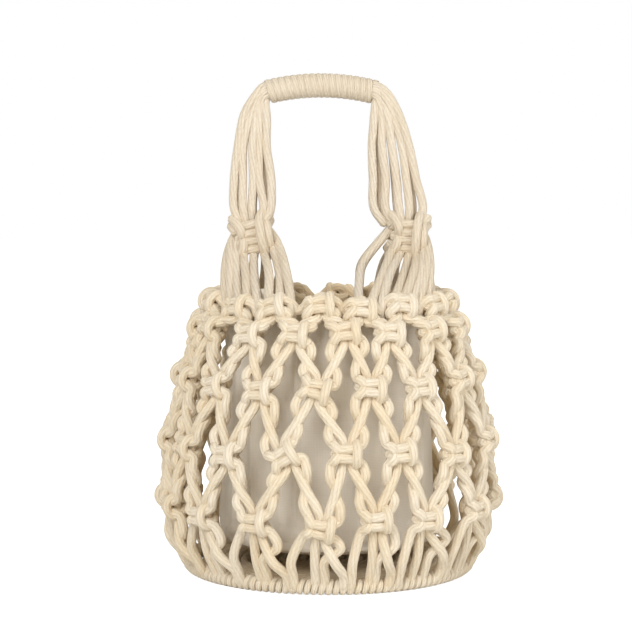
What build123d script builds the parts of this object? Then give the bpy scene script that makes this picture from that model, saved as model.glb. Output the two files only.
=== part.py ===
from build123d import *
import os
from math import cos, exp, pi, radians, sin

# Small bucket handbag netted from cotton cord: a round net of square knots on a hooped base,
# a cloth liner hanging inside it, and a wrapped grip carried by two legs of gathered cords.
# Millimetres, +Z up, origin at the middle of the underside. The front faces -Y.

# ---- net ----
columns = 16  # square knots in each row
net_turn = -3.0  # degrees that the whole net is turned about +Z
crowding = -6.5  # degrees by which the columns at the front right crowd towards the front
crowding_middle = 42.0
crowding_reach = 30.0
cord_width = 5.4  # across a net cord, twice the distance from its middle to a flat
cord_sides = 5
cord_layer = 2.8  # the core cords lie this far outside the wall's middle, the knotting cords inside
core_side = 3.6  # the two core cords stand this far each side of a knot's middle
core_end = 2.0  # and stop this far above or below it
knotting_side = 8.7  # the two knotting cords leave from the knot's sides
knotting_end = 1.0
knot_width = 17.2
knot_height = 15.0
knot_depth = 10.0

# Each row of knots: height and radius of its middle, how far the wall leans in there, first column.
knot_rows = {
    "rim_knots": (168.0, 82.4, 17.0, 0.0),
    "knots_row_1": (153.0, 87.0, 15.0, 0.5),
    "knots_row_2": (122.0, 94.0, 12.0, 0.0),
    "knots_row_3": (85.5, 101.0, 6.0, 0.5),
    "knots_row_4": (45.0, 102.0, -10.0, 0.0),
}
rim_loop_rise = 5.0  # how far a loop over the rim stands above the middle of the rim knots
rim_loop_side = 9.3  # it starts this far beside a knot's middle
rim_loop_start = 1.5  # and this far above it

# ---- base ----
hoop_radius = 87.0
hoop_width = 8.0
hoop_height = 4.7
hoop_sides = 32
belly_radius = 98.0  # the last tier of cords bows out to this radius
belly_height = 22.0
strands = 4 * columns
hitch_width = 6.2
hitch_depth = 2.6
hitch_height = 11.0
disc_radius = 83.4
disc_height = 6.0
disc_chamfer = 1.5

# ---- liner ----
liner_sides = 32
liner_radius = 74.0
liner_foot_radius = 71.0
liner_bottom = 20.0
liner_top = 168.0
liner_cloth = 1.4
hem_height = 10.0

# ---- handle ----
grip_middle = -5.0
grip_top = 304.5  # height of the grip's centre line at its middle
grip_arch_radius = 138.0
grip_core_width = 10.6
grip_core_sides = 12
grip_core_length = 73.0
grip_core_runs = 8
wrap_turns = 17
wrap_pitch = 3.88
wrap_width = 3.5
wrap_outer = 7.3  # half the grip's thickness, across flats
wrap_inner = 5.7
wrap_sides = 8
leg_cord_width = 4.4
leg_layer = 2.9  # the leg's front and back cords stand this far each side of its middle
hinge_height = 228.0
bend_radius = 6.4  # the cords bend in a round bundle about the hinge line
leg_knot_bottom = 199.0
leg_knot_height = 22.0
leg_knot_depth = 19.0
fan_cord_width = 4.1
fan_seat_inset = 2.0  # the fan enters a leg knot on an oval this far inside the knot's sides
fan_seat_depth = 7.2  # and this far in front of and behind its middle
passing_side = 26.5  # on the right, the first and last cord of the fan pass the knot here instead
passing_layer = 3.5
passing_top = 219.5

# Each leg from the hinge up to the grip: distance from the middle and height of its outermost cord,
# then of its innermost one.
left_leg = (
    ((-59.6, 228.0), (-35.6, 228.0)),
    ((-59.4, 246.0), (-36.4, 246.0)),
    ((-56.8, 268.0), (-38.4, 266.0)),
    ((-51.8, 287.0), (-39.4, 283.0)),
    ((-45.0, 298.0), (-40.4, 292.0)),
)
right_leg = (
    ((58.6, 228.0), (28.4, 228.0)),
    ((55.8, 246.0), (27.8, 246.0)),
    ((50.4, 268.0), (28.0, 266.0)),
    ((43.6, 287.0), (28.8, 283.0)),
    ((36.0, 298.0), (30.2, 292.0)),
)
left_knot_middle = -47.0
right_knot_middle = 50.0
left_knot_width = 29.0
right_knot_width = 24.0
fan_columns = 7  # rim knots on each side that feed a fan
leg_lanes = ((5, -1), (3, 1))  # cords in the front layer and in the back one
grip_entry = 4.6  # the leg's cords enter the grip's ends this far below its top line
grip_entry_spread = 2.4


def write(name, solids):
    """Writes one node: a single solid, or a group of separate ones."""
    shape = solids[0] if len(solids) == 1 else Compound(children=solids)
    export_step(shape, f"parts/{name}.step")


def polygon(points):
    return Wire.make_polygon(points, close=True)


def closed(rings):
    """A solid with flat sides between rings of equally many corners, and a flat end at each."""
    count = len(rings[0])
    faces = [Face(polygon(rings[0])), Face(polygon(rings[-1]))]
    for low, high in zip(rings, rings[1:]):
        for i in range(count):
            j = (i + 1) % count
            faces.append(Face(polygon([low[i], low[j], high[j], high[i]])))
    return Solid(Shell(faces))


def cord(points, width, flat_towards, sides=cord_sides):
    """A flat-sided cord along straight runs. Each corner is cut on the plane that halves its turn."""
    points = [Vector(p) for p in points]
    runs = [(b - a).normalized() for a, b in zip(points, points[1:])]
    flat = Vector(flat_towards)
    across = (flat - runs[0] * flat.dot(runs[0])).normalized()
    along = runs[0].cross(across)
    corner_radius = width / 2 / cos(pi / sides)
    ring = []
    for i in range(sides):
        angle = 2 * pi * (i + 0.5) / sides
        ring.append(points[0] + (along * sin(angle) + across * cos(angle)) * corner_radius)
    rings = [ring]
    for i, run in enumerate(runs):
        cut = run + runs[i + 1] if i + 1 < len(runs) else run
        ring = [p + run * ((points[i + 1] - p).dot(cut) / run.dot(cut)) for p in ring]
        rings.append(ring)
    return closed(rings)


def around(column):
    """Outward and rightward directions at a column of the net, seen from outside."""
    even = (net_turn + column * 360 / columns + 180) % 360 - 180
    angle = radians(even + crowding * exp(-(((even - crowding_middle) / crowding_reach) ** 2)))
    return Vector(sin(angle), -cos(angle), 0), Vector(cos(angle), sin(angle), 0)


def knot_plane(row, column):
    """The place of a knot: x to its right, y up the wall, z out of the wall."""
    height, radius, lean, _ = knot_rows[row]
    out, right = around(column)
    tilted = out * cos(radians(lean)) + Vector(0, 0, sin(radians(lean)))
    return Plane(origin=out * radius + Vector(0, 0, height), x_dir=right, z_dir=tilted)


def square_knot(width, height, depth):
    """Two bars across the front, over a flatter back, and an upright loop that closes the right side."""
    h = height / 2
    d = depth / 2
    loop = 0.28 * width
    lower = [(-0.62 * h, -0.88 * d), (-h, 0.25 * d), (-0.55 * h, d), (0, 0.55 * d)]
    upper = [(-y, z) for y, z in reversed(lower[:-1])]
    bars = Face(polygon([(-width / 2, y, z) for y, z in lower + upper]))
    bight = [(-0.5 * h, -0.6 * d), (-0.78 * h, 0.5 * d), (-0.5 * h, 1.12 * d)]
    bight += [(-y, z) for y, z in reversed(bight)]
    side = Face(polygon([(loop, y, z) for y, z in bight]))
    bar_length = loop + width / 2
    body = Solid.extrude(bars, Vector(bar_length, 0, 0))
    knot = body.fuse(Solid.extrude(side, Vector(width / 2 - loop, 0, 0)))
    return knot.clean()


def turn_ring(angle):
    """One turn of the wrapping cord at an angle along the grip's arch."""
    centre = Vector(grip_middle, 0, grip_top - grip_arch_radius)
    outward = Vector(sin(angle), 0, cos(angle))
    axis = Vector(cos(angle), 0, -sin(angle))
    middle = centre + outward * grip_arch_radius
    plane = Plane(origin=middle - axis * (wrap_width / 2), x_dir=outward, z_dir=axis)
    corners = []
    for apothem in (wrap_outer, wrap_inner):
        reach = apothem / cos(pi / wrap_sides)
        angles = [2 * pi * (i + 0.5) / wrap_sides for i in range(wrap_sides)]
        corners.append([plane.from_local_coords((reach * cos(a), reach * sin(a), 0)) for a in angles])
    face = Face(polygon(corners[0]), [polygon(corners[1])])
    return Solid.extrude(face, axis * wrap_width)


def cylinder_ring(radius, height, sides):
    """The corners of a level regular polygon, turned so that a flat faces the front."""
    angles = [2 * pi * (i + 0.5) / sides for i in range(sides)]
    return [Vector(radius * sin(a), -radius * cos(a), height) for a in angles]


def tube(outer, inner):
    """A wall between two rings outside and two inside, each given as low and high."""
    faces = []
    for end in (0, 1):
        faces.append(Face(polygon(outer[end]), [polygon(inner[end])]))
    for low, high in (outer, inner):
        for i in range(len(low)):
            j = (i + 1) % len(low)
            faces.append(Face(polygon([low[i], low[j], high[j], high[i]])))
    return Solid(Shell(faces))


def build_knots():
    knot = square_knot(knot_width, knot_height, knot_depth)
    for row, (_, _, _, first) in knot_rows.items():
        write(row, [knot_plane(row, first + i).location * knot for i in range(columns)])


def build_tiers():
    """The cords between two rows: core cords slant outside, knotting cords run upright inside."""
    rows = list(knot_rows)
    for tier, (upper, lower) in enumerate(zip(rows, rows[1:]), start=1):
        core, knotting = [], []
        for i in range(columns):
            column = knot_rows[upper][3] + i
            top = knot_plane(upper, column)
            for side in (-1, 1):
                foot = knot_plane(lower, column + side / 2)
                start = top.from_local_coords((side * core_side, -core_end, cord_layer))
                end = foot.from_local_coords((-side * core_side, core_end, cord_layer))
                core.append(cord([start, end], cord_width, -top.z_dir))
                start = top.from_local_coords((side * knotting_side, -knotting_end, -cord_layer))
                end = foot.from_local_coords((-side * knotting_side, knotting_end, -cord_layer))
                knotting.append(cord([start, end], cord_width, top.z_dir))
        write(f"core_cords_tier_{tier}", core)
        write(f"knotting_cords_tier_{tier}", knotting)


def build_last_tier():
    """Below the last row the core cords lean out to the next knot's, in front of the knotting cords.
    All of them reach the base hoop evenly spread."""
    core, knotting = [], []
    for i in range(columns):
        top = knot_plane("knots_row_4", i)
        for slot in (-1.5, -0.5, 0.5, 1.5):
            out, _ = around(i + slot / 4)
            side = 1 if slot > 0 else -1
            is_core = abs(slot) > 1
            across = core_side if is_core else knotting_side
            stop = core_end if is_core else knotting_end
            layer = cord_layer if is_core else -cord_layer
            start = top.from_local_coords((side * across, -stop, layer))
            belly = out * (belly_radius + layer) + Vector(0, 0, belly_height)
            foot = out * (hoop_radius + layer / 2) + Vector(0, 0, hoop_height + hoop_width / 3)
            group = core if is_core else knotting
            group.append(cord([start, belly, foot], cord_width, top.z_dir * (-1 if is_core else 1)))
    write("core_cords_tier_5", core)
    write("knotting_cords_tier_5", knotting)


def build_rim_loops():
    loops = []
    height, radius, _, _ = knot_rows["rim_knots"]
    for i in range(columns):
        start = knot_plane("rim_knots", i).from_local_coords((rim_loop_side, rim_loop_start, 0))
        end = knot_plane("rim_knots", i + 1).from_local_coords((-rim_loop_side, rim_loop_start, 0))
        out, _ = around(i + 0.5)
        middle = out * radius + Vector(0, 0, height + rim_loop_rise)
        loops.append(cord([start, middle, end], cord_width, out))
    write("rim_loops", loops)


def build_base():
    disc = [
        cylinder_ring(disc_radius, 0, hoop_sides),
        cylinder_ring(disc_radius, disc_height - disc_chamfer, hoop_sides),
        cylinder_ring(disc_radius - disc_chamfer, disc_height, hoop_sides),
    ]
    write("base_disc", [closed(disc)])

    half = hoop_width / 2 / cos(pi / 6)
    section = [(hoop_width / 2 * x, half * y) for x, y in ((1, 0.5), (0, 1), (-1, 0.5), (-1, -0.5), (0, -1), (1, -0.5))]
    rings = [cylinder_ring(hoop_radius + x, hoop_height + y, hoop_sides) for x, y in section]
    faces = []
    for low, high in zip(rings, rings[1:] + rings[:1]):
        for i in range(hoop_sides):
            j = (i + 1) % hoop_sides
            faces.append(Face(polygon([low[i], low[j], high[j], high[i]])))
    write("base_hoop", [Solid(Shell(faces))])

    hitches = []
    flat_radius = (hoop_radius + hoop_width / 2) * cos(pi / hoop_sides)
    block = Box(hitch_width, hitch_depth, hitch_height, align=(Align.CENTER, Align.MAX, Align.MIN))
    for i in range(hoop_sides):
        for side in (-1, 1):
            shift = side * 2 * pi * hoop_radius / strands / 2
            place = Location((shift, -flat_radius, 0.4))
            turn = Rotation(0, 0, 360 * i / hoop_sides)
            hitches.append((turn * place * block).solid())
    write("base_hitches", hitches)


def build_liner():
    cloth = liner_cloth / cos(pi / liner_sides)
    outer = [
        cylinder_ring(liner_foot_radius, liner_bottom, liner_sides),
        cylinder_ring(liner_radius, liner_top, liner_sides),
    ]
    inner = [
        cylinder_ring(liner_foot_radius - cloth, liner_bottom, liner_sides),
        cylinder_ring(liner_radius - cloth, liner_top, liner_sides),
    ]
    write("liner_wall", [tube(outer, inner)])

    floor = [
        cylinder_ring(liner_foot_radius - cloth, liner_bottom, liner_sides),
        cylinder_ring(liner_foot_radius - cloth, liner_bottom + liner_cloth, liner_sides),
    ]
    write("liner_floor", [closed(floor)])

    slope = (liner_radius - liner_foot_radius) / (liner_top - liner_bottom)
    hem_foot = liner_radius - cloth - slope * hem_height
    hem_outer = [
        cylinder_ring(hem_foot, liner_top - hem_height, liner_sides),
        cylinder_ring(liner_radius - cloth, liner_top, liner_sides),
    ]
    hem_inner = [
        cylinder_ring(hem_foot - cloth, liner_top - hem_height, liner_sides),
        cylinder_ring(liner_radius - 2 * cloth, liner_top, liner_sides),
    ]
    write("liner_hem", [tube(hem_outer, hem_inner)])


def build_leg_knots():
    for name, middle, width in (
        ("left_leg_knot", left_knot_middle, left_knot_width),
        ("right_leg_knot", right_knot_middle, right_knot_width),
    ):
        centre = Vector(middle, 0, leg_knot_bottom + leg_knot_height / 2)
        place = Plane(origin=centre, x_dir=(1, 0, 0), z_dir=(0, -1, 0))
        write(name, [place.location * square_knot(width, leg_knot_height, leg_knot_depth)])


def build_fans():
    """Two cords from each of seven rim knots rise to each leg knot and enter it on an oval."""
    count = 2 * fan_columns
    for name, knot_middle, knot_width_here, side in (
        ("left_fan_cords", left_knot_middle, left_knot_width, -1),
        ("right_fan_cords", right_knot_middle, right_knot_width, 1),
    ):
        seat = knot_width_here / 2 - fan_seat_inset
        cords = []
        for order in range(count):
            strand = side if order % 2 else -side
            rim = knot_plane("rim_knots", side * (1 + order // 2))
            start = rim.from_local_coords((strand * core_side, core_end, cord_layer / 3))
            angle = 2 * pi * (order + 0.5) / count  # round the oval from its inner front corner
            x = knot_middle - side * seat * cos(angle)
            end = Vector(x, -fan_seat_depth * sin(angle), leg_knot_bottom + core_end)
            if side > 0 and order in (0, count - 1):
                end = Vector(passing_side, -passing_layer * (1 if order == 0 else -1), passing_top)
            cords.append(cord([start, end], fan_cord_width, (0, 0, 1)))
        write(name, cords)


def build_legs():
    """Eight cords a side, five in front and three behind, from the bend above the knot to the grip."""
    for name, outline, side in (("left_leg_cords", left_leg, -1), ("right_leg_cords", right_leg, 1)):
        outer, inner = outline[0][0][0], outline[0][1][0]
        entry_x = grip_middle + side * grip_core_length * 0.48
        bend = Cylinder(bend_radius, abs(outer - inner) + leg_cord_width, rotation=(0, 90, 0))
        leg = (Location(((inner + outer) / 2, 0, hinge_height)) * bend).solid()
        for lanes, face in leg_lanes:
            for lane in range(lanes):
                share = lane / (lanes - 1) if face < 0 else (lane + 0.5) / lanes
                points = []
                for outermost, innermost in outline:
                    x, height = (a + (b - a) * share for a, b in zip(outermost, innermost))
                    points.append(Vector(x, face * leg_layer, height))
                drop = grip_entry - grip_entry_spread * (1 - 2 * share)
                points.append(Vector(entry_x, face * leg_layer * 0.6, grip_top - drop))
                leg = leg.fuse(cord(points, leg_cord_width, (0, 1, 0)))
        write(name, [leg.solid()])


def build_grip():
    half_angle = grip_core_length / 2 / grip_arch_radius
    points = []
    for i in range(grip_core_runs + 1):
        angle = half_angle * (2 * i / grip_core_runs - 1)
        height = grip_top - grip_arch_radius * (1 - cos(angle))
        points.append((grip_middle + grip_arch_radius * sin(angle), 0, height))
    write("grip_core", [cord(points, grip_core_width, (0, 1, 0), grip_core_sides)])
    turns = []
    for i in range(wrap_turns):
        turns.append(turn_ring((i - (wrap_turns - 1) / 2) * wrap_pitch / grip_arch_radius))
    write("grip_wrap", turns)


os.makedirs("parts", exist_ok=True)
build_knots()
build_tiers()
build_last_tier()
build_rim_loops()
build_base()
build_liner()
build_leg_knots()
build_fans()
build_legs()
build_grip()
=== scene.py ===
import math

import bpy
import numpy as np
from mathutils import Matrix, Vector


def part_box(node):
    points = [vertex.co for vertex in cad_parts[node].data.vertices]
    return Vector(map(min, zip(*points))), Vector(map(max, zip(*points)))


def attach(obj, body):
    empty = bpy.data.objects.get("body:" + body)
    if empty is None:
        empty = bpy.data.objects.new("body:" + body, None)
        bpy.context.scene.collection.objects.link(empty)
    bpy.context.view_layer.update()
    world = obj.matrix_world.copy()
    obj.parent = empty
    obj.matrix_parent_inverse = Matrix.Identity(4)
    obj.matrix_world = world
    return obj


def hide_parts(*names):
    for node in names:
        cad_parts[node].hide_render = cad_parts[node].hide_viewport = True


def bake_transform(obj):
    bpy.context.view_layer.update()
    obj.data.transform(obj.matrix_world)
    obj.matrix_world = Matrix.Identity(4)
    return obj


# A bucket handbag netted from cotton cord. Metres throughout. Every piece is placed from the CAD nodes'
# boxes: the five rows of square knots give the net its profile, and the leg knots place the handle.

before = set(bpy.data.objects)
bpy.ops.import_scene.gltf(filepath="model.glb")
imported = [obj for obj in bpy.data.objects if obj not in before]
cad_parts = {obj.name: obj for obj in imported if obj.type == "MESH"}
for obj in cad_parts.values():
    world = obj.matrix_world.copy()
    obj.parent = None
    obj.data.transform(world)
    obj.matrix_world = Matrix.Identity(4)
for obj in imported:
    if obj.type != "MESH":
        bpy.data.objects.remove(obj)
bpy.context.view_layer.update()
MM = 0.001
RANDOM = np.random.default_rng(11)

# ---- net ----
COLUMNS = 16
NET_TURN = math.radians(-3.0)
CROWDING, CROWDING_MIDDLE, CROWDING_REACH = (math.radians(v) for v in (-6.5, 42.0, 30.0))
CORD = 3.0 * MM  # radius of a net cord
TIGHT = 5.05 * MM  # spacing of cords inside a pulled knot
PULLED = 0.97  # how far a cord thins inside a knot
KNOT_PROUD = 6.2 * MM  # how far a row's knots stand outside the middle of the wall
PULLED_IN = 1.4 * MM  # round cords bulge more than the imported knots, so the wall stands in by this much
ROWS = ("rim_knots", "knots_row_1", "knots_row_2", "knots_row_3", "knots_row_4")
FIRST = (0.0, 0.5, 0.0, 0.5, 0.0)  # first column of each row
# The photograph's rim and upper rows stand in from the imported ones, by this much in each row.
DRAWN_IN = (9.0 * MM, 5.0 * MM, 2.5 * MM, 0.0, 0.0)
WANDER = 1.5 * MM  # how far a knot sits from its even place
# Degrees round from the front at which the cords of each fan leave the rim.
LEFT_FAN = (-18.5, -24.5, -30.5, -37, -43.5, -50, -56.5, -63, -118, -126, -134, -142, -151, -160)
RIGHT_FAN = (14, 20, 26, 32, 38, 44, 50, 56, 62, 120, 131, 142, 153, 163)

# ---- handle ----
LEG_CORD = 2.75 * MM
# On the right, two cords of the fan bow out beside the leg knot and end behind it: x and z of each place.
PASSING_BOW = (22.5 * MM, 195.0 * MM)
PASSING_END = (38.0 * MM, 214.0 * MM)
# The outermost and innermost cord of each leg, from the hinge line to the grip: x and z in millimetres.
LEFT_LEG = (
    ((-59.6, 228), (-35.6, 228)), ((-59.4, 246), (-36.4, 246)), ((-56.8, 268), (-38.4, 266)),
    ((-51.8, 287), (-39.4, 283)), ((-45.0, 299), (-40.2, 293)),
)
RIGHT_LEG = (
    ((58.6, 228), (28.4, 228)), ((55.8, 246), (27.8, 246)), ((50.4, 268), (28.0, 266)),
    ((43.6, 287), (28.8, 283)), ((35.8, 299), (29.8, 293)),
)


# ------------------------------------------------------------------ lines and tubes

def smooth(points, step):
    """A line through the points that turns smoothly, with a point about every step."""
    p = np.asarray(points, float)
    p = np.vstack([2 * p[0] - p[1], p, 2 * p[-1] - p[-2]])
    knots = np.concatenate([[0], np.cumsum(np.linalg.norm(np.diff(p, axis=0), axis=1) ** 0.5)])
    out = []
    for i in range(1, len(p) - 2):
        t0, t1, t2, t3 = knots[i - 1 : i + 3]
        count = max(2, int(math.ceil(np.linalg.norm(p[i + 1] - p[i]) / step)))
        t = np.linspace(t1, t2, count, endpoint=False)[:, None]
        a1 = (t1 - t) / (t1 - t0) * p[i - 1] + (t - t0) / (t1 - t0) * p[i]
        a2 = (t2 - t) / (t2 - t1) * p[i] + (t - t1) / (t2 - t1) * p[i + 1]
        a3 = (t3 - t) / (t3 - t2) * p[i + 1] + (t - t2) / (t3 - t2) * p[i + 2]
        b1 = (t2 - t) / (t2 - t0) * a1 + (t - t0) / (t2 - t0) * a2
        b2 = (t3 - t) / (t3 - t1) * a2 + (t - t1) / (t3 - t1) * a3
        out.append((t2 - t) / (t2 - t1) * b1 + (t - t1) / (t2 - t1) * b2)
    out.append(p[-2][None, :])
    return np.vstack(out)


def tangents(line):
    t = np.gradient(line, axis=0)
    return t / np.maximum(np.linalg.norm(t, axis=1, keepdims=True), 1e-12)


def carried_frame(line):
    """Two directions across the line that turn with it and don't twist."""
    t = tangents(line)
    first = np.cross(t[0], (0.3, 0.2, 0.93))
    across = [first / np.linalg.norm(first)]
    for i in range(1, len(line)):
        v = across[-1] - t[i] * np.dot(across[-1], t[i])
        across.append(v / np.linalg.norm(v))
    across = np.array(across)
    return across, np.cross(t, across)


class Tubes:
    """Collects the cords of one piece into one mesh. Its UV map has u round the cord and v along it."""

    def __init__(self, sides=12):
        self.sides = sides
        self.verts, self.faces, self.uvs, self.shades, self.inward_shade_masks = [], [], [], [], []
        self.count = 0

    def add(self, line, radius, flat=None, shade=None):
        """radius is one number or one for each point.
        flat gives (directions, share): the cord is that much thinner that way."""
        n, s = len(line), self.sides
        radius = np.broadcast_to(np.asarray(radius, float), (n,))
        if flat is None:
            a, b = carried_frame(line)
            thin = 1.0
        else:
            directions, thin = flat
            t = tangents(line)
            b = directions - t * np.sum(directions * t, axis=1, keepdims=True)
            b = b / np.linalg.norm(b, axis=1, keepdims=True)
            a = np.cross(b, t)
        turn = np.arange(s) * 2 * math.pi / s
        wide, deep = np.cos(turn)[None, :, None], thin * np.sin(turn)[None, :, None]
        ring = wide * a[:, None, :] + deep * b[:, None, :]
        verts = line[:, None, :] + ring * radius[:, None, None]
        t = tangents(line)
        ends = []
        for i, sign in ((0, -1), (-1, 1)):
            ends.append(line[i][None, :] + ring[i] * radius[i] * 0.6 + sign * t[i] * radius[i] * 0.55)
            ends.append((line[i] + sign * t[i] * radius[i] * 0.8)[None, :])
        start = self.count
        self.verts += [verts.reshape(-1, 3), *ends]
        along = np.concatenate([[0], np.cumsum(np.linalg.norm(np.diff(line, axis=0), axis=1))])
        i, k = np.meshgrid(np.arange(n - 1), np.arange(s), indexing="ij")
        i, k = i.ravel(), k.ravel()
        j = (k + 1) % s
        quads = start + np.stack([i * s + k, i * s + j, (i + 1) * s + j, (i + 1) * s + k], axis=1)
        u0, u1 = k / s, (k + 1) / s
        uv = np.stack([u0, along[i], u1, along[i], u1, along[i + 1], u0, along[i + 1]], axis=1)
        self.faces += quads.tolist()
        self.uvs.append(uv.reshape(-1, 2))
        cap_low = start + n * s
        cap_high = cap_low + s + 1
        for base, row, flip in ((cap_low, 0, True), (cap_high, n - 1, False)):
            for k in range(s):
                j = (k + 1) % s
                edge = start + row * s
                quad = [edge + k, edge + j, base + j, base + k]
                tri = [base + k, base + j, base + s]
                v = along[row]
                if flip:
                    quad, tri = quad[::-1], tri[::-1]
                self.faces += [quad, tri]
                self.uvs.append(np.array([[k / s, v], [(k + 1) / s, v], [(k + 1) / s, v], [k / s, v]]))
                self.uvs.append(np.array([[k / s, v], [(k + 1) / s, v], [k / s, v]]))
        added = n * s + 2 * (s + 1)
        value = RANDOM.random() if shade is None else shade
        self.shades.append(np.full(added, value))
        # Painted shade: a mask from 0 to 1 on the side of each cord that faces the bag's middle, which the cord
        # material darkens and warms.
        inward = -(ring[:, :, 0] * line[:, None, 0] + ring[:, :, 1] * line[:, None, 1])
        inward = inward / np.maximum(np.hypot(line[:, 0], line[:, 1]), 1e-6)[:, None]
        self.inward_shade_masks += [np.clip(inward, 0, 1).ravel(), np.zeros(2 * (s + 1))]
        self.count += added

    def build(self, name, material):
        mesh = bpy.data.meshes.new(name)
        verts = np.vstack(self.verts)
        mesh.from_pydata(verts.tolist(), [], self.faces)
        layer = mesh.uv_layers.new(name="UVMap")
        layer.data.foreach_set("uv", np.vstack(self.uvs).astype(np.float32).ravel())
        shade = mesh.attributes.new("shade", "FLOAT", "POINT")
        shade.data.foreach_set("value", np.concatenate(self.shades).astype(np.float32))
        inward_shade_mask = mesh.attributes.new("inward_shade_mask", "FLOAT", "POINT")
        inward_shade_mask.data.foreach_set("value", np.concatenate(self.inward_shade_masks).astype(np.float32))
        mesh.polygons.foreach_set("use_smooth", np.ones(len(mesh.polygons), bool))
        mesh.materials.append(material)
        mesh.update()
        obj = bpy.data.objects.new(name, mesh)
        bpy.context.scene.collection.objects.link(obj)
        return obj


# ------------------------------------------------------------------ materials

class Nodes:
    """A short way to write a material's node tree."""

    def __init__(self, name):
        self.material = bpy.data.materials.new(name)
        self.material.use_nodes = True
        self.tree = self.material.node_tree
        self.shader = self.tree.nodes["Principled BSDF"]

    def add(self, kind, **sockets):
        node = self.tree.nodes.new(kind)
        for key, value in sockets.items():
            if hasattr(node, key):
                setattr(node, key, value)
        return node

    def feed(self, socket, value):
        if isinstance(value, bpy.types.NodeSocket):
            self.tree.links.new(value, socket)
        else:
            socket.default_value = value

    def math(self, operation, a, b=0.0, c=0.0):
        node = self.add("ShaderNodeMath", operation=operation)
        for socket, value in zip(node.inputs, (a, b, c)):
            self.feed(socket, value)
        return node.outputs[0]

    def noise(self, vector, scale, detail=2.0, roughness=0.5):
        node = self.add("ShaderNodeTexNoise")
        self.feed(node.inputs["Vector"], vector)
        node.inputs["Scale"].default_value = scale
        node.inputs["Detail"].default_value = detail
        node.inputs["Roughness"].default_value = roughness
        return node.outputs["Fac"]

    def ramp(self, value, low, high, low_colour, high_colour):
        node = self.add("ShaderNodeValToRGB")
        self.feed(node.inputs["Fac"], value)
        node.color_ramp.elements[0].position = low
        node.color_ramp.elements[0].color = (*low_colour, 1)
        node.color_ramp.elements[1].position = high
        node.color_ramp.elements[1].color = (*high_colour, 1)
        return node.outputs["Color"]

    def mix(self, share, a, b, blend_type="MIX"):
        node = self.add("ShaderNodeMix", data_type="RGBA", blend_type=blend_type)
        self.feed(node.inputs[0], share)
        self.feed(node.inputs[6], a if isinstance(a, bpy.types.NodeSocket) else (*a, 1))
        self.feed(node.inputs[7], b if isinstance(b, bpy.types.NodeSocket) else (*b, 1))
        return node.outputs[2]

    def bump(self, height, strength, distance):
        node = self.add("ShaderNodeBump")
        node.inputs["Strength"].default_value = strength
        node.inputs["Distance"].default_value = distance
        self.feed(node.inputs["Height"], height)
        self.tree.links.new(node.outputs["Normal"], self.shader.inputs["Normal"])


def cotton_cord(name, light, warm, twist=15.0 * MM, yarns=7, relief=0.8, inner=0.0):
    """Soft cotton cord: slanting yarns, a finer braid over them and fibres along the cord, with painted shade
    in the valleys between the yarns and on the side of each cord that faces the bag's middle.
    """
    m = Nodes(name)
    uv = m.add("ShaderNodeUVMap").outputs["UV"]
    apart = m.add("ShaderNodeSeparateXYZ")
    m.feed(apart.inputs[0], uv)
    round_it, along = apart.outputs[0], apart.outputs[1]
    turns = m.math("MULTIPLY", round_it, float(yarns))
    length = m.math("DIVIDE", along, twist)
    yarn = m.math("ABSOLUTE", m.math("SINE", m.math("MULTIPLY", m.math("ADD", turns, length), math.pi)))
    finer = m.math("MULTIPLY", m.math("SUBTRACT", turns, m.math("MULTIPLY", length, 3.0)), math.pi)
    braid = m.math("ABSOLUTE", m.math("SINE", finer))
    weave = m.math("MULTIPLY", m.math("POWER", yarn, 0.6), m.math("MULTIPLY_ADD", braid, 0.4, 0.6))
    place = m.add("ShaderNodeTexCoord").outputs["Object"]
    join = m.add("ShaderNodeCombineXYZ")
    m.feed(join.inputs[0], m.math("MULTIPLY", round_it, 26.0))
    m.feed(join.inputs[1], m.math("MULTIPLY", along, 330.0))
    fibre = m.noise(join.outputs[0], 1.0, 4.0, 0.65)
    patch = m.noise(place, 38.0, 3.0)
    own = m.add("ShaderNodeAttribute", attribute_name="shade").outputs["Fac"]
    tone = m.math("ADD", m.math("MULTIPLY", patch, 0.75), m.math("MULTIPLY", own, 0.25))
    base = m.ramp(tone, 0.3, 0.68, warm, light)
    # Painted shade: a darker warm colour for the valleys between the yarns and the braid; the fibre streaks
    # darken towards it too.
    valley_shade_and_fibre = tuple(c * f for c, f in zip(warm, (0.78, 0.66, 0.5)))
    shaded = m.mix(m.math("MULTIPLY", m.math("SUBTRACT", 1.0, weave), 0.34), base, valley_shade_and_fibre)
    dark_fibre = m.math("MULTIPLY", m.math("SUBTRACT", 0.55, fibre), 1.6)
    fine = m.mix(m.math("MAXIMUM", dark_fibre, 0.0), shaded, valley_shade_and_fibre)
    # Painted shade: the side of a cord that faces the bag's middle is mixed towards a darker ochre, as far as
    # the mask times inner.
    inward_shade_mask = m.add("ShaderNodeAttribute", attribute_name="inward_shade_mask").outputs["Fac"]
    inward_shade_colour = tuple(c * f for c, f in zip(warm, (0.82, 0.68, 0.46)))
    toned = m.mix(m.math("MULTIPLY", inward_shade_mask, inner), fine, inward_shade_colour)
    m.tree.links.new(toned, m.shader.inputs["Base Color"])
    rough = m.math("MULTIPLY_ADD", fibre, 0.16, 0.76)
    m.tree.links.new(rough, m.shader.inputs["Roughness"])
    m.shader.inputs["Sheen Weight"].default_value = 0.3
    m.shader.inputs["Sheen Roughness"].default_value = 0.4
    m.shader.inputs["Specular IOR Level"].default_value = 0.2
    height = m.math("ADD", m.math("MULTIPLY", weave, 0.8), m.math("MULTIPLY", fibre, 0.6))
    m.bump(height, relief, 0.7 * MM)
    return m.material


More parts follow.
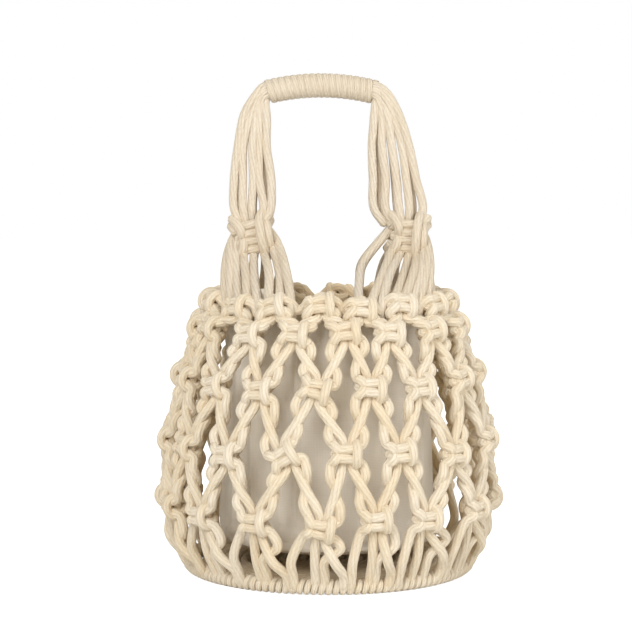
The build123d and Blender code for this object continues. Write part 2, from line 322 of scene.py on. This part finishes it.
def linen(name, light, warm):
    """Plain-woven linen: threads both ways of uneven thickness, with slubs, and painted shade in the gaps
    between the threads.
    """
    m = Nodes(name)
    uv = m.add("ShaderNodeUVMap").outputs["UV"]
    apart = m.add("ShaderNodeSeparateXYZ")
    m.feed(apart.inputs[0], uv)
    weft, warp = apart.outputs[0], apart.outputs[1]
    thread = 1.0 * MM
    across = m.math("ABSOLUTE", m.math("SINE", m.math("MULTIPLY", weft, math.pi / thread)))
    down = m.math("ABSOLUTE", m.math("SINE", m.math("MULTIPLY", warp, math.pi / thread)))
    weave = m.math("MULTIPLY", across, down)
    slub = m.add("ShaderNodeCombineXYZ")
    m.feed(slub.inputs[0], m.math("MULTIPLY", weft, 60.0))
    m.feed(slub.inputs[1], m.math("MULTIPLY", warp, 1500.0))
    other = m.add("ShaderNodeCombineXYZ")
    m.feed(other.inputs[0], m.math("MULTIPLY", weft, 1500.0))
    m.feed(other.inputs[1], m.math("MULTIPLY", warp, 60.0))
    slubs = m.math("MAXIMUM", m.noise(slub.outputs[0], 1.0, 2.0), m.noise(other.outputs[0], 1.0, 2.0))
    place = m.add("ShaderNodeTexCoord").outputs["Object"]
    patch = m.noise(place, 22.0, 3.0)
    base = m.ramp(patch, 0.3, 0.7, warm, light)
    thin_places = m.math("MULTIPLY", m.math("SUBTRACT", 1.0, slubs), 0.6)
    threads = m.mix(thin_places, base, tuple(c * 0.84 for c in warm))
    # Painted shade: the gaps between the threads are darkened.
    thread_gap_shade = m.math("MULTIPLY", m.math("SUBTRACT", 1.0, weave), 0.26)
    shaded = m.mix(thread_gap_shade, threads, tuple(c * 0.7 for c in warm))
    m.tree.links.new(shaded, m.shader.inputs["Base Color"])
    m.tree.links.new(m.math("MULTIPLY_ADD", slubs, 0.1, 0.8), m.shader.inputs["Roughness"])
    m.shader.inputs["Sheen Weight"].default_value = 0.15
    m.shader.inputs["Specular IOR Level"].default_value = 0.2
    m.bump(m.math("ADD", weave, slubs), 0.35, 0.2 * MM)
    return m.material


# ------------------------------------------------------------------ the net's frame

def row_of(node, drawn_in):
    """Height and radius of the middle of a row of knots."""
    low, high = (np.array(corner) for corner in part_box(node))
    return (low[2] + high[2]) / 2, (high[0] - low[0]) / 2 - KNOT_PROUD - PULLED_IN - drawn_in


HEIGHTS, RADII = zip(*(row_of(node, drawn_in) for node, drawn_in in zip(ROWS, DRAWN_IN)))
HOOP = (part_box("base_hoop")[1][0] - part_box("base_hoop")[0][0]) / 2 - 4 * MM  # where the feet cross the hoop
KNOT_SHIFT = RANDOM.normal(0, WANDER, (len(ROWS), COLUMNS, 3))
# The slack places at the front: the third row below the rim sags on the right and a little on the left.
SLACK_ROW = ROWS.index("knots_row_3")
for index, sag in ((2, 5.0), (3, 4.0), (14, 3.5)):
    KNOT_SHIFT[SLACK_ROW, index, 2] -= sag * MM
KNOT_TILT = RANDOM.normal(0, math.radians(8), (len(ROWS), COLUMNS))


def lean_of(row):
    """How far the wall leans in at a row."""
    above, below = max(row - 1, 0), min(row + 1, len(ROWS) - 1)
    if row == len(ROWS) - 1:
        return math.radians(-9)
    return math.atan2(RADII[below] - RADII[above], HEIGHTS[above] - HEIGHTS[below])


def around(column):
    even = (NET_TURN + column * 2 * math.pi / COLUMNS + math.pi) % (2 * math.pi) - math.pi
    angle = even + CROWDING * math.exp(-(((even - CROWDING_MIDDLE) / CROWDING_REACH) ** 2))
    return np.array([math.sin(angle), -math.cos(angle), 0]), np.array([math.cos(angle), math.sin(angle), 0])


def knot_frame(row, column):
    """Middle of a knot, and its directions: right, outward and up the wall."""
    out, right = around(column)
    lean = lean_of(row)
    outward = out * math.cos(lean) + np.array([0, 0, math.sin(lean)])
    up = np.cross(outward, right)
    index = int(round(column - FIRST[row])) % COLUMNS
    shift = KNOT_SHIFT[row, index]
    middle = out * RADII[row] + np.array([0, 0, HEIGHTS[row]]) + right * shift[0] + up * shift[2]
    tilt = KNOT_TILT[row, index]
    right, up = right * math.cos(tilt) + up * math.sin(tilt), up * math.cos(tilt) - right * math.sin(tilt)
    return middle, right, outward, up


def in_knot(place, points, unit=TIGHT):
    middle, right, outward, up = place
    p = np.asarray(points, float) * unit
    return middle + p[:, :1] * right + p[:, 1:2] * outward + p[:, 2:] * up


# Ways through the upper half of a square knot: right, outward and up, in cord spacings.
# The lower half mirrors them.
OVER = [
    (1.75, 0.1, 1.15), (1.1, 0.65, 0.72), (0.3, 1.0, 0.57),
    (-0.6, 1.0, 0.53), (-1.25, 0.5, 0.4), (-1.5, 0.1, 0),
]
ROUND = [
    (-1.85, 0.3, 1.2), (-1.35, 1.05, 0.62), (-1.0, 0.25, 0.12), (-0.85, -0.6, 0.12), (0, -1.0, 0.35),
    (0.85, -0.6, 0.8), (1.0, 0.3, 1.22), (1.02, 1.12, 0.85), (1.02, 1.45, 0),
]
CORE = [(-0.5, 0, 1.35), (-0.5, 0, 0)]


def whole(half):
    return half + [(u, n, -w) for u, n, w in reversed(half[:-1])]


def mirrored(points):
    return [(-u, n, w) for u, n, w in points]


def through(kind, side, at_rim=False):
    """Points of a strand through a knot. side is the side of the knot that it enters and leaves on.
    At the rim a knotting cord comes level from the next knot."""
    if kind == "core":
        return whole(CORE if side < 0 else mirrored(CORE))
    points = whole(OVER if side > 0 else ROUND)
    if at_rim:
        points[0] = (side * 2.0, -0.2, 0.35)
    return points


def between(a, b, rise, bulge, layer):
    """Points of a cord between two knots: turned round the net's middle, bowed sideways and outward."""
    angle_a, angle_b = math.atan2(a[0], -a[1]), math.atan2(b[0], -b[1])
    turn = (angle_b - angle_a + math.pi) % (2 * math.pi) - math.pi
    radius_a, radius_b = math.hypot(a[0], a[1]), math.hypot(b[0], b[1])
    out = []
    for t, side, n in zip(rise, bulge, layer):
        angle = angle_a + turn * t
        radius = radius_a + (radius_b - radius_a) * t + n
        angle += side / radius
        out.append((radius * math.sin(angle), -radius * math.cos(angle), a[2] + (b[2] - a[2]) * t))
    return np.array(out)


def pulled_radius(line, places, radius=CORD, reach=9.5 * MM):
    """The cord is thinner where it lies inside a knot."""
    nearest = np.full(len(line), 1.0)
    for place in places:
        nearest = np.minimum(nearest, np.linalg.norm(line - place, axis=1))
    t = np.clip((nearest - reach * 0.75) / (reach * 0.6), 0, 1)
    return radius * (PULLED + (1 - PULLED) * t * t * (3 - 2 * t))


def strand(kind, start_column, side):
    """One cord from the rim to above the base: its points in each knot and between them."""
    points, places = [], []
    column, at = start_column, side
    previous, side_from = None, side
    for row in range(len(ROWS)):
        place = knot_frame(row, column)
        places.append(place[0])
        inside = in_knot(place, through(kind, at, row == 0))
        if previous is not None:
            gap = previous[2] - inside[0][2]
            roomy = gap > 14 * MM
            if kind == "core":
                links = between(previous, inside[0], (0.5,), (0,), (0.35 * CORD * 2,))
            elif roomy:
                wide, slack = side_from * 1.9 * MM, side_from * 1.1 * MM
                links = between(
                    previous, inside[0], (0.2, 0.35, 0.5, 0.65, 0.8), (wide, slack, 0, -slack, -wide),
                    np.array((0.25, -0.15, -0.55, -0.15, 0.25)) * 2 * CORD,
                )
            else:
                links = between(previous, inside[0], (0.5,), (0,), (-0.35 * CORD * 2,))
            points.append(links)
        points.append(inside)
        previous = inside[-1]
        side_from = at
        column, at = column + at / 2, -at
    return points, places


# The way down to the base: how far outside the hoop, and the height.
FOOT = ((11.0 * MM, 22.0 * MM), (6.5 * MM, 12.5 * MM), (3.0 * MM, 6.0 * MM), (0.0, 3.6 * MM))
# How far to the side of its knot a foot stands, in columns, and how much that varies.
LEANING, UPRIGHT, UNEVEN = 0.45, 0.09, 0.025


def foot_of(slot_column, layer):
    """The end of a cord, down the belly and over the outside of the base hoop."""
    out, _ = around(slot_column)
    points = [out * (HOOP + beyond + layer) + np.array([0, 0, z]) for beyond, z in FOOT]
    return np.array(points)


def net_lines():
    """Every cord of the net, as (kind, column, side, points, places of its knots)."""
    lines = []
    for column in range(COLUMNS):
        for side in (-1, 1):
            for kind in ("core", "work"):
                points, places = strand(kind, column, side)
                # Below the last row two cords of each knot lean well out to the ring, in front of the two
                # that drop almost straight: the knotting cord on the left and the core cord on the right.
                leans = (kind == "core") == (side > 0)
                reach = side * (LEANING if leans else UPRIGHT) + RANDOM.normal(0, UNEVEN)
                feet = foot_of(column + reach, (0.8 if leans else -1.6) * MM)
                if kind == "core" and leans:
                    feet[0] += (around(column + 0.27)[0] - around(column + LEANING)[0]) * HOOP
                    feet[0] += around(column)[0] * 3.0 * MM
                elif kind == "work" and not leans:
                    wide = around(column + 0.36)[0] * (HOOP + 14 * MM) + np.array([0, 0, 31 * MM])
                    feet = np.vstack([wide, feet])
                points.append(feet)
                lines.append((kind, column, side, np.vstack(points), places))
    return lines


def build_net(cord):
    lines = {(kind, column, side): (points, places) for kind, column, side, points, places in net_lines()}
    step = 1.6 * MM
    work = {}
    for column in range(COLUMNS):
        # the right knotting cord of one knot folds over the rim into the left one of the next
        right_points, right_places = lines["work", column, 1]
        left_points, left_places = lines["work", (column + 1) % COLUMNS, -1]
        a, b = right_points[0], left_points[0]
        over = between(a, b, (0.5,), (0,), (-0.5 * MM,)) + np.array([0, 0, -3.6 * MM])
        work[column] = (np.vstack([right_points[::-1], over, left_points]), right_places + left_places)
    quarters = []
    for quarter in range(4):
        tubes = Tubes()
        for column in range(quarter * 4, quarter * 4 + 4):
            points, places = work[column]
            line = smooth(points, step)
            tubes.add(line, pulled_radius(line, places))
        quarters.append(tubes.build(f"net_knotting_cords_{quarter + 1}", cord))
    halves = []
    for half in range(2):
        tubes = Tubes()
        for column in range(half * 8, half * 8 + 8):
            # the two core cords of a knot are one, folded over the rim
            fold = in_knot(knot_frame(0, column), [(-0.62, 0, 1.0), (0, -0.15, 1.5), (0.62, 0, 1.0)])
            (left, left_places), (right, right_places) = lines["core", column, -1], lines["core", column, 1]
            line = smooth(np.vstack([left[:0:-1], fold, right[1:]]), step)
            tubes.add(line, pulled_radius(line, left_places + right_places))
        halves.append(tubes.build(f"net_core_cords_{half + 1}", cord))
    return quarters, halves


# ------------------------------------------------------------------ base

HITCHES, HITCH_SAMPLES, HITCH_CORD = 130, 12, 2.0 * MM
COIL_PITCH, COIL_CORD = 6.1 * MM, 3.0 * MM


def build_base(cord, rope):
    """The hitches round the hoop, and the coil of rope inside it."""
    low, high = (np.array(corner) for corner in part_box("base_hoop"))
    radius = (high[0] - low[0]) / 2 - 3.2 * MM
    t = np.arange(HITCHES * HITCH_SAMPLES + 1) / HITCH_SAMPLES
    angle = t / HITCHES * 2 * math.pi
    wind = t * 2 * math.pi
    r = radius + 3.4 * MM * np.cos(wind)
    z = 4.9 * MM + 2.9 * MM * np.sin(wind)
    line = np.stack([r * np.sin(angle), -r * np.cos(angle), z], axis=1)
    tubes = Tubes(10)
    tubes.add(line, HITCH_CORD)
    ring = tubes.build("base_ring_hitches", cord)

    tubes = Tubes(10)
    last = (radius - 5.0 * MM) / COIL_PITCH
    t = np.linspace(0.45, last, int(last * 90))
    spiral = t * COIL_PITCH
    wind = t * 2 * math.pi
    line = np.stack([spiral * np.sin(wind), -spiral * np.cos(wind), np.full(len(t), COIL_CORD)], axis=1)
    tubes.add(line, COIL_CORD)
    disc = tubes.build("base_coil", rope)
    return ring, disc


# ------------------------------------------------------------------ handle

def leg_knot_place(node):
    low, high = (np.array(corner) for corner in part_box(node))
    middle = (low + high) / 2
    middle[1] = 0
    width = high[0] - low[0]
    height = high[2] - low[2]
    return middle, width, height


def leg_worker(middle, kind, scale, tilt, spread):
    """The way of a doubled cord through a leg knot, as two lines side by side."""
    shape = np.array(whole(OVER if kind == "over" else ROUND), float) * scale
    right = shape[:, 0] * math.cos(tilt) - shape[:, 2] * math.sin(tilt)
    up = shape[:, 0] * math.sin(tilt) + shape[:, 2] * math.cos(tilt)
    line = smooth(np.stack([middle[0] + right, middle[1] - shape[:, 1], middle[2] + up], axis=1), 1.3 * MM)
    t = tangents(line)
    radial = line - middle
    radial[:, 2] = 0
    radial /= np.maximum(np.linalg.norm(radial, axis=1, keepdims=True), 1e-9)
    side = np.cross(t, radial)
    side /= np.maximum(np.linalg.norm(side, axis=1, keepdims=True), 1e-9)
    return line + side * spread, line - side * spread


def leg_stations(outline, share, layer):
    points = []
    for outer, inner in outline:
        x, z = np.array(outer) + (np.array(inner) - np.array(outer)) * share
        points.append(np.array([x, layer, z]) * MM)
    return points


GRIP_ARCH = 138.0 * MM  # radius of the grip's bow
WINDING_TURNS, WINDING_SAMPLES, WINDING_CORD = 17, 26, 2.2 * MM


def build_handle(cord):
    """Eight cords run from the left leg knot up the leg, through the grip and down the right leg."""
    low, high = (np.array(corner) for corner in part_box("grip_wrap"))
    grip_low, grip_high = low[0], high[0]
    grip_mid = (grip_low + grip_high) / 2
    top = high[2] - 7.3 * MM

    def on_grip(x, turn, r):
        angle = math.asin((x - grip_mid) / GRIP_ARCH)
        centre = np.array([x, 0, top - GRIP_ARCH * (1 - math.cos(angle))])
        up = np.array([math.sin(angle), 0, math.cos(angle)])
        return centre + up * r * math.cos(turn) + np.array([0, -1, 0]) * r * math.sin(turn)

    tubes = Tubes(12)
    lanes = [(i / 4, -1, math.radians(25 + 32 * i)) for i in range(5)]
    lanes += [((i + 0.5) / 3, 1, math.radians(-45 - 50 * i)) for i in range(3)]
    for share, face, turn in lanes:
        points = []
        for side, outline in ((-1, LEFT_LEG), (1, RIGHT_LEG)):
            wobble = RANDOM.normal(0, 0.7, (len(outline), 2))
            leg = leg_stations(outline, share, face * 2.9)
            leg = [p + np.array([w[0], w[1] * 0.6, 0]) * MM for p, w in zip(leg, wobble)]
            foot = leg[0] + np.array([0, 0, -10 * MM])
            knot = leg_knot_place("left_leg_knot" if side < 0 else "right_leg_knot")[0]
            foot[0] += (knot[0] - foot[0]) * 0.3
            edge = on_grip(grip_mid + side * (grip_high - grip_mid + 0.5 * MM), turn, 4.4 * MM)
            leg = [foot] + leg + [edge]
            inner = [on_grip(grip_mid + side * (grip_high - grip_mid - 10 * MM), turn, 3.9 * MM)]
            leg = leg + inner
            points += leg if side < 0 else leg[::-1]
        line = smooth(points, 1.8 * MM)
        inside = (line[:, 0] > grip_low) & (line[:, 0] < grip_high) & (line[:, 2] > top - 12 * MM)
        radius = np.where(inside, 2.0 * MM, LEG_CORD)
        radius = np.convolve(np.pad(radius, 4, mode="edge"), np.ones(9) / 9, mode="valid")
        tubes.add(line, radius)
    legs = tubes.build("handle_cords", cord)

    tubes = Tubes(12)
    t = np.linspace(0, WINDING_TURNS, WINDING_TURNS * WINDING_SAMPLES + 1)
    pitch = (grip_high - grip_low) / (WINDING_TURNS + 0.6)
    x = grip_low + 2.1 * MM + t * pitch * 0.985
    line = np.array([on_grip(xi, ti * 2 * math.pi, 6.7 * MM) for xi, ti in zip(x, t)])
    centre = np.array([on_grip(xi, 0, 0) for xi in x])
    outward = line - centre
    tubes.add(line, WINDING_CORD, flat=(outward, 0.45))
    wrap = tubes.build("grip_winding", cord)
    return legs, wrap


def build_leg_knots(cord):
    """A large square knot of doubled cords round the foot of each leg."""
    out = []
    for node, name, tilt in (
        ("left_leg_knot", "left_knot_cords", math.radians(9)),
        ("right_leg_knot", "right_knot_cords", math.radians(-5)),
    ):
        middle, width, _ = leg_knot_place(node)
        tubes = Tubes(12)
        scale = (5.4 * MM + width * 0.05, 7.4 * MM, 9.2 * MM)
        for kind in ("over", "round"):
            for line in leg_worker(middle, kind, scale, tilt, LEG_CORD * 0.96):
                tubes.add(line, LEG_CORD * 1.06)
        out.append(tubes.build(name, cord))
    return out


def build_fans(cord):
    """The cords that gather from the rim to each leg knot."""
    out = []
    for side, node, name, leaves in (
        (-1, "left_leg_knot", "left_fan", LEFT_FAN), (1, "right_leg_knot", "right_fan", RIGHT_FAN),
    ):
        middle, width, height = leg_knot_place(node)
        tubes = Tubes(12)
        count = len(leaves)
        for order, degrees in enumerate(leaves):
            out_way = np.array([math.sin(math.radians(degrees)), -math.cos(math.radians(degrees)), 0])
            start = np.array([
                out_way * (RADII[0] - 2.5 * MM) + np.array([0, 0, HEIGHTS[0] - 9 * MM]),
                out_way * (RADII[0] - 1.2 * MM) + np.array([0, 0, HEIGHTS[0] + 1 * MM]),
            ])
            angle = 2 * math.pi * (order + 0.5) / count
            aside = -side * math.cos(angle)
            seat = np.array([aside * (width / 2 - 0.5 * MM), -7.0 * MM * math.sin(angle), 0])
            low = middle + seat + np.array([0, 0, -height / 2 + height * 0.42 * abs(aside) ** 2])
            span = low - start[-1]
            outward = seat / np.linalg.norm(seat)
            mid = start[-1] + span * np.array([0.5, 0.5, 0.56]) + outward * 2.0 * MM
            mid = mid + RANDOM.normal(0, 0.9 * MM, 3)
            end = middle + seat * 0.5 + np.array([0, 0, 7 * MM * abs(aside)])
            if side > 0 and order in (0, count - 1):
                face = -1 if order == 0 else 1
                low = np.array([PASSING_BOW[0], face * 10 * MM, PASSING_BOW[1]])
                mid = start[-1] + (low - start[-1]) * 0.5 + np.array([-1.5, 0, 0]) * MM
                end = np.array([PASSING_END[0], face * 3.0 * MM, PASSING_END[1]])
            line = smooth(np.vstack([start, mid, low, end]), 1.8 * MM)
            t = np.linspace(0, 1, len(line))
            tubes.add(line, CORD * PULLED + (LEG_CORD - CORD * PULLED) * np.clip(t * 1.5 - 0.4, 0, 1))
        out.append(tubes.build(name, cord))
    return out


# ------------------------------------------------------------------ liner

CLOTH = 0.8 * MM  # thickness of the liner's cloth
LINER_FULLNESS = 1.05  # the cloth's cut against the ring it is sewn to
LINER_DRAWN_IN = DRAWN_IN[0] + 0.5 * MM  # the liner's top edge follows the rim in
LINER_DRAWN_SHARE = 0.45  # share of the liner's height over which that ends
LINER_PEAKS = ((-0.726, 10.0, 0.13), (0.35, 2.0, 0.3), (1.3, 3.0, 0.25), (2.6, 3.0, 0.3), (-2.0, 2.5, 0.3))


def away(a, b):
    """The angle from b to a, from minus to plus half a turn."""
    return (a - b + math.pi) % (2 * math.pi) - math.pi


def liner_inset(share):
    """How far the liner stands in at a share of the way down from its top."""
    return LINER_DRAWN_IN * np.clip(1 - share / LINER_DRAWN_SHARE, 0, 1) ** 1.5


def thicken(obj, thickness):
    modifier = obj.modifiers.new("thickness", "SOLIDIFY")
    modifier.thickness = thickness
    modifier.offset = 0
    bpy.context.view_layer.objects.active = obj
    bpy.ops.object.modifier_apply(modifier=modifier.name)


def settle(obj, pinned, rest, frames):
    """Lets the cloth sag from its pinned points, and keeps the shape that it comes to."""
    group = obj.vertex_groups.new(name="pinned")
    group.add(pinned, 1.0, "REPLACE")
    obj.shape_key_add(name="Basis")
    key = obj.shape_key_add(name="cut")
    key.data.foreach_set("co", rest.astype(np.float32).ravel())
    cloth = obj.modifiers.new("cloth", "CLOTH")
    cloth.settings.quality = 7
    cloth.settings.mass = 0.2
    cloth.settings.tension_stiffness = 12
    cloth.settings.compression_stiffness = 12
    cloth.settings.bending_stiffness = 0.25
    cloth.settings.air_damping = 3
    cloth.settings.vertex_group_mass = "pinned"
    cloth.settings.rest_shape_key = key
    cloth.collision_settings.use_collision = False
    scene = bpy.context.scene
    for frame_number in range(1, frames + 1):
        scene.frame_set(frame_number)
    view = bpy.context.evaluated_depsgraph_get()
    settled = obj.evaluated_get(view).to_mesh()
    points = np.empty(len(settled.vertices) * 3, np.float32)
    settled.vertices.foreach_get("co", points)
    obj.evaluated_get(view).to_mesh_clear()
    obj.modifiers.remove(cloth)
    obj.shape_key_clear()
    obj.vertex_groups.clear()
    scene.frame_set(1)
    return points.reshape(-1, 3).astype(float)


def build_liner(cloth):
    """A gathered linen pouch that hangs from the rim and stops short of the base."""
    low, high = (np.array(corner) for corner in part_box("liner_wall"))
    top, bottom = high[2], low[2]
    radius_top = (high[0] - low[0]) / 2
    columns, rows = 192, 60
    phase = RANDOM.uniform(0, 2 * math.pi, 6)
    angle = np.arange(columns) * 2 * math.pi / columns
    share = np.arange(rows + 1)[:, None] / rows
    fold = 1.5 * np.sin(9 * angle + phase[0]) + 1.2 * np.sin(14 * angle + phase[1] + 1.5 * share)
    fold = fold + 0.8 * np.sin(23 * angle + phase[2] - 2 * share)
    rim_rise = 1 * MM + 1.4 * MM * np.sin(5 * angle + phase[3]) - 4.5 * MM * (1 - np.cos(angle))
    for middle, rise, reach in LINER_PEAKS:
        rim_rise = rim_rise + rise * MM * np.exp(-(np.array([away(a, middle) for a in angle]) / reach) ** 2)
    radius = radius_top - 2.8 * MM + fold * MM * (0.4 + 0.5 * np.sin(math.pi * share)) - liner_inset(share)
    radius = radius - (5.5 * MM) * np.clip((share - 0.9) / 0.1, 0, 1) ** 2
    height = top + rim_rise * (1 - share) ** 4 + (bottom - top) * share + 0.6 * MM
    verts = np.stack([radius * np.sin(angle), -radius * np.cos(angle), height * np.ones_like(radius)], axis=2)
    verts = verts.reshape(-1, 3)
    faces, uvs = [], []
    wide, tall = 2 * math.pi * radius_top * LINER_FULLNESS, top - bottom + 6 * MM
    for j in range(rows):
        for i in range(columns):
            k = (i + 1) % columns
            faces.append((j * columns + i, (j + 1) * columns + i, (j + 1) * columns + k, j * columns + k))
            left, right = i / columns * wide, (i + 1) / columns * wide
            upper, lower = j / rows * tall, (j + 1) / rows * tall
            uvs += [(left, upper), (left, lower), (right, lower), (right, upper)]
    mesh = bpy.data.meshes.new("liner")
    mesh.from_pydata(verts.tolist(), [], faces)
    layer = mesh.uv_layers.new(name="UVMap")
    layer.data.foreach_set("uv", np.array(uvs, np.float32).ravel())
    mesh.polygons.foreach_set("use_smooth", np.ones(len(mesh.polygons), bool))
    mesh.materials.append(cloth)
    mesh.update()
    obj = bpy.data.objects.new("liner", mesh)
    bpy.context.scene.collection.objects.link(obj)
    rest = verts * (LINER_FULLNESS, LINER_FULLNESS, 1.035)
    pinned = list(range(2 * columns)) + list(range(rows * columns, (rows + 1) * columns))
    settled = settle(obj, pinned, rest, 30)
    spread = np.hypot(settled[:, 0], settled[:, 1])
    edge = radius_top - liner_inset(np.clip((top - settled[:, 2]) / (top - bottom), 0, 1))
    limit = np.clip(spread, edge - 9 * MM, edge + 1.5 * MM) / spread
    settled[:, :2] *= limit[:, None]
    obj.data.vertices.foreach_set("co", settled.astype(np.float32).ravel())
    obj.data.update()
    thicken(obj, CLOTH)

    rings, spokes = 12, 96
    verts, faces, uvs = [(0, 0, bottom + 0.4 * MM)], [], []
    outer = radius_top - 8.2 * MM
    for j in range(1, rings + 1):
        for i in range(spokes):
            a = i / spokes * 2 * math.pi
            r = outer * j / rings
            sag = 1.2 * MM * math.sin(3 * a + phase[4]) * (j / rings) * (1 - j / rings) * 4
            verts.append((r * math.sin(a), -r * math.cos(a), bottom + 0.4 * MM + sag))
    for i in range(spokes):
        faces.append((0, 1 + i, 1 + (i + 1) % spokes))
    for j in range(rings - 1):
        for i in range(spokes):
            k = (i + 1) % spokes
            a = 1 + j * spokes
            faces.append((a + i, a + spokes + i, a + spokes + k, a + k))
    mesh = bpy.data.meshes.new("liner_bottom")
    mesh.from_pydata(verts, [], faces)
    layer = mesh.uv_layers.new(name="UVMap")
    for loop in mesh.loops:
        x, y, _ = verts[loop.vertex_index]
        layer.data[loop.index].uv = (x, y)
    mesh.polygons.foreach_set("use_smooth", np.ones(len(mesh.polygons), bool))
    mesh.materials.append(cloth)
    mesh.update()
    under = bpy.data.objects.new("liner_bottom", mesh)
    bpy.context.scene.collection.objects.link(under)
    thicken(under, CLOTH)
    return obj, under, (wide, tall), outer


# ------------------------------------------------------------------ studio

AMBIENT = 0.42  # strength of the warm light from all round


def build_studio():
    bpy.ops.mesh.primitive_plane_add(size=12, location=(0, 0, 0))
    floor = bpy.context.object
    floor.name = "floor"
    m = Nodes("white_table")
    m.shader.inputs["Base Color"].default_value = (0.93, 0.93, 0.93, 1)
    m.shader.inputs["Roughness"].default_value = 0.6
    m.shader.inputs["Emission Color"].default_value = (1, 1, 1, 1)
    seen = m.add("ShaderNodeLightPath").outputs["Is Camera Ray"]
    m.tree.links.new(m.math("MULTIPLY", seen, 0.75), m.shader.inputs["Emission Strength"])
    floor.data.materials.append(m.material)

    world = bpy.data.worlds.new("studio")
    bpy.context.scene.world = world
    world.use_nodes = True
    tree = world.node_tree
    ambient = tree.nodes["Background"]
    ambient.inputs[0].default_value = (1, 0.95, 0.86, 1)
    ambient.inputs[1].default_value = AMBIENT
    backdrop = tree.nodes.new("ShaderNodeBackground")
    backdrop.inputs[0].default_value = (1, 1, 1, 1)
    seen = tree.nodes.new("ShaderNodeLightPath").outputs["Is Camera Ray"]
    either = tree.nodes.new("ShaderNodeMixShader")
    tree.links.new(seen, either.inputs[0])
    tree.links.new(ambient.outputs[0], either.inputs[1])
    tree.links.new(backdrop.outputs[0], either.inputs[2])
    tree.links.new(either.outputs[0], tree.nodes["World Output"].inputs[0])

    for name, place, size, power in (
        ("key", (-0.5, -1.5, 1.1), 0.8, 19),
        ("fill", (1.4, -0.9, 0.8), 1.2, 11),
        ("back", (0.2, 1.3, 1.7), 1.0, 7),
    ):
        data = bpy.data.lights.new(name, "AREA")
        data.size = size
        data.energy = power
        data.color = (0.97, 0.985, 1.0)
        lamp = bpy.data.objects.new(name, data)
        bpy.context.scene.collection.objects.link(lamp)
        lamp.location = place
        aim = np.array([0, 0, 0.12]) - np.array(place)
        lamp.rotation_euler = Vector(aim).to_track_quat("-Z", "Y").to_euler()


def build_camera():
    data = bpy.data.cameras.new("camera")
    data.lens = 111.2
    data.sensor_width = 36
    data.clip_end = 50
    camera = bpy.data.objects.new("camera", data)
    bpy.context.scene.collection.objects.link(camera)
    camera.location = (-0.008, -1.23, 0.25)
    camera.rotation_euler = (math.radians(90 - 4.2), 0, 0)
    bpy.context.scene.camera = camera


bpy.context.scene.view_settings.view_transform = "Standard"
build_camera()
build_studio()
# inner sets how much painted shade darkens the side of the net's cords that faces the bag's middle.
NET = cotton_cord("net_cotton", (0.90, 0.82, 0.68), (0.85, 0.73, 0.54), inner=0.6)
HANDLE = cotton_cord("handle_cotton", (0.83, 0.75, 0.63), (0.78, 0.68, 0.53), twist=13.0 * MM)
ROPE = cotton_cord("base_cotton", (0.86, 0.75, 0.57), (0.78, 0.64, 0.44))
LINEN = linen("liner_linen", (0.95, 0.90, 0.81), (0.88, 0.80, 0.66))

quarters, halves = build_net(NET)
for piece in quarters + halves:
    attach(piece, "bag")
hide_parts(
    "knots_row_1", "knots_row_2", "knots_row_3", "knots_row_4", "rim_knots", "rim_loops",
    *(f"knotting_cords_tier_{tier}" for tier in range(1, 6)),
)
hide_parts(*(f"core_cords_tier_{tier}" for tier in range(1, 6)))

ring, disc = build_base(NET, ROPE)
for piece, slot, nodes in (
    (ring, "net_cord", ("base_hoop", "base_hitches")), (disc, "base_cord", ("base_disc",)),
):
    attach(piece, "bag")
    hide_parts(*nodes)

legs, wrap = build_handle(HANDLE)
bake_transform(legs)
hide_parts("left_leg_cords", "right_leg_cords", "grip_core")
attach(wrap, "handle")
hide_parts("grip_wrap")

for piece, node in zip(build_leg_knots(HANDLE), ("left_leg_knot", "right_leg_knot")):
    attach(piece, "bag")
    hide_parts(node)
for piece, node in zip(build_fans(HANDLE), ("left_fan_cords", "right_fan_cords")):
    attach(piece, "bag")
    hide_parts(node)

liner, liner_bottom, cut, bottom_radius = build_liner(LINEN)
for piece in (liner, liner_bottom):
    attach(piece, "bag")
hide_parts("liner_wall", "liner_hem")
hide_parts("liner_floor")
